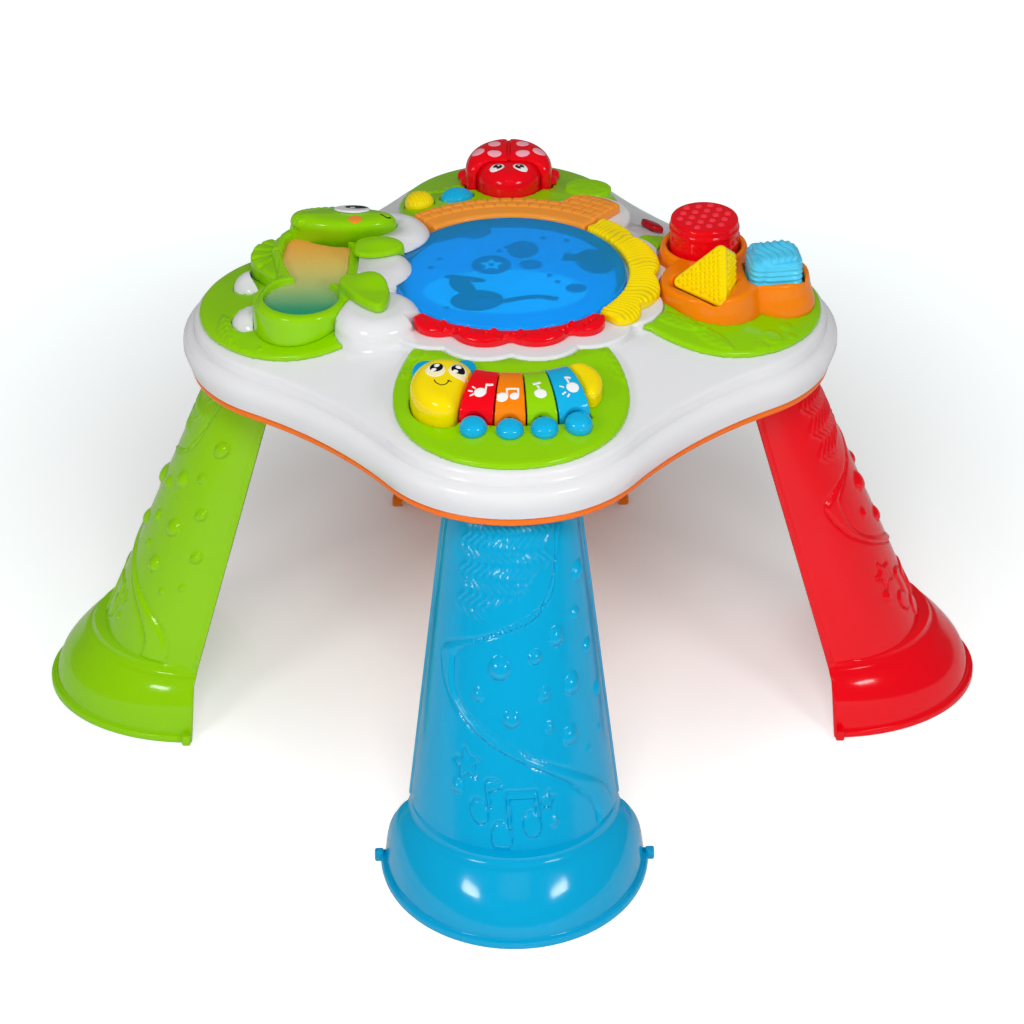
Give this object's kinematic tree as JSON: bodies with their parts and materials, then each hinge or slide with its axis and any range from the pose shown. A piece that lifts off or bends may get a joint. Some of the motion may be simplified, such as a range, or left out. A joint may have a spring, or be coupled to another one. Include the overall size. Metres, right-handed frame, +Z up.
{
  "type": "musical activity table",
  "caption": "Toddler's musical activity table: lobed top with a light-up drum pad, animal piano, shape sorter and buttons on open half-shell legs.",
  "frame": {"origin": "on the floor, under the middle of the drum pad", "axes": "+Z up, -Y towards the inchworm piano, +X towards the shape tray"},
  "size_m": [0.7378, 0.7378, 0.39],
  "materials": {
    "white_shell": "glossy",
    "orange_pan": "glossy",
    "blue_leg": "glossy",
    "green_leg": "glossy",
    "red_leg": "glossy",
    "blue_lens": "glossy",
    "sea_print": "matte",
    "red_part": "glossy",
    "yellow_part": "glossy",
    "orange_part": "glossy",
    "lime_part": "glossy",
    "sky_part": "glossy",
    "teal_part": "glossy",
    "graded_panel": "glossy",
    "dark_red_part": "glossy",
    "circuit_board": "matte",
    "grey_rubber": "matte",
    "inner_plastic": "matte",
    "cell_jacket": "matte",
    "spring_steel": "satin",
    "speaker_black": "matte"
  },
  "bodies": {
    "table": {"top_shell": "white_shell", "base_shell": "orange_pan", "plate_front": "lime_part", "leg_front": "blue_leg", "plate_right": "lime_part", "leg_right": "red_leg", "plate_back": "lime_part", "leg_back": "orange_part", "plate_left": "lime_part", "leg_left": "green_leg", "light_board": "circuit_board", "drum_pads": "grey_rubber", "petal_red": "red_part", "petal_yellow": "yellow_part", "petal_orange": "orange_part", "key_clips": "white_shell", "key_board": "circuit_board", "key_pads": "grey_rubber", "inchworm_ears": "teal_part", "inchworm_feet": "sky_part", "inchworm_tail": "yellow_part", "lizard_body": "lime_part", "lizard_panel": "graded_panel", "lizard_head": "lime_part", "lizard_eye": "white_shell", "shape_tray": "orange_part", "ladybird_legs": "red_part", "back_board": "circuit_board", "back_pads": "grey_rubber", "battery_box": "inner_plastic", "battery_cover": "orange_pan", "batteries": "cell_jacket", "battery_contacts": "spring_steel", "speaker": "speaker_black", "main_board": "circuit_board", "case_screws": "spring_steel"},
    "drum": {"drum_lens": "blue_lens", "sea_disc": "sea_print", "sea_figures": "sea_print"},
    "key_red": {"key_red": "red_part"},
    "key_orange": {"key_orange": "orange_part"},
    "key_green": {"key_green": "lime_part"},
    "key_blue": {"key_blue": "sky_part"},
    "inchworm_head": {"inchworm_head": "yellow_part"},
    "ladybird": {"ladybird_wings": "red_part", "ladybird_head": "red_part"},
    "yellow_button": {"yellow_button": "yellow_part"},
    "blue_button": {"blue_button": "sky_part"},
    "power_switch": {"power_switch": "dark_red_part"},
    "block_cylinder": {"block_cylinder": "red_part"},
    "block_prism": {"block_prism": "yellow_part"},
    "block_cube": {"block_cube": "sky_part"}
  },
  "joints": [
    {"name": "key_red_press", "type": "hinge", "parent": "table", "child": "key_red", "pos_m": [-0.01378, -0.12659, 0.34203], "axis": [0.9808, -0.1915, -0.0373], "range_deg": [0, 2.2], "stiffness_Nm_per_rad": 0.6, "springref_deg": -2.86},
    {"name": "key_orange_press", "type": "hinge", "parent": "table", "child": "key_orange", "pos_m": [0.0006, -0.12818, 0.34172], "axis": [0.9996, -0.0274, -0.0053], "range_deg": [0, 2.2], "stiffness_Nm_per_rad": 0.6, "springref_deg": -2.86},
    {"name": "key_green_press", "type": "hinge", "parent": "table", "child": "key_green", "pos_m": [0.01422, -0.12749, 0.34185], "axis": [0.9914, 0.1281, 0.0249], "range_deg": [0, 2.2], "stiffness_Nm_per_rad": 0.6, "springref_deg": -2.86},
    {"name": "key_blue_press", "type": "hinge", "parent": "table", "child": "key_blue", "pos_m": [0.02771, -0.12466, 0.34241], "axis": [0.9578, 0.2821, 0.0549], "range_deg": [0, 2.2], "stiffness_Nm_per_rad": 0.6, "springref_deg": -2.86},
    {"name": "head_press", "type": "slide", "parent": "table", "child": "inchworm_head", "axis": [0, 0.1911, -0.9816], "range_m": [0, 0.0025], "stiffness_N_per_m": 600, "springref_m": -0.002},
    {"name": "ladybird_press", "type": "slide", "parent": "table", "child": "ladybird", "axis": [0, 0, -1], "range_m": [0, 0.004], "stiffness_N_per_m": 900, "springref_m": -0.003},
    {"name": "yellow_press", "type": "slide", "parent": "table", "child": "yellow_button", "axis": [0, 0, -1], "range_m": [0, 0.0025], "stiffness_N_per_m": 600, "springref_m": -0.002},
    {"name": "blue_press", "type": "slide", "parent": "table", "child": "blue_button", "axis": [0, 0, -1], "range_m": [0, 0.0025], "stiffness_N_per_m": 600, "springref_m": -0.002},
    {"name": "drum_press", "type": "slide", "parent": "table", "child": "drum", "axis": [0, 0, -1], "range_m": [0, 0.0015], "stiffness_N_per_m": 2500, "springref_m": -0.001},
    {"name": "switch_slide", "type": "slide", "parent": "table", "child": "power_switch", "axis": [-0.6909, 0.723, 0], "range_m": [0, 0.008]},
    {"name": "cylinder_lift", "type": "slide", "parent": "table", "child": "block_cylinder", "axis": [0, 0, 1], "range_m": [0, 0.06]},
    {"name": "cube_lift", "type": "slide", "parent": "table", "child": "block_cube", "axis": [0, 0, 1], "range_m": [0, 0.06]},
    {"name": "prism_lift", "type": "slide", "parent": "table", "child": "block_prism", "axis": [-0.4384, -0.6465, 0.6244], "range_m": [0, 0.05]}
  ]
}
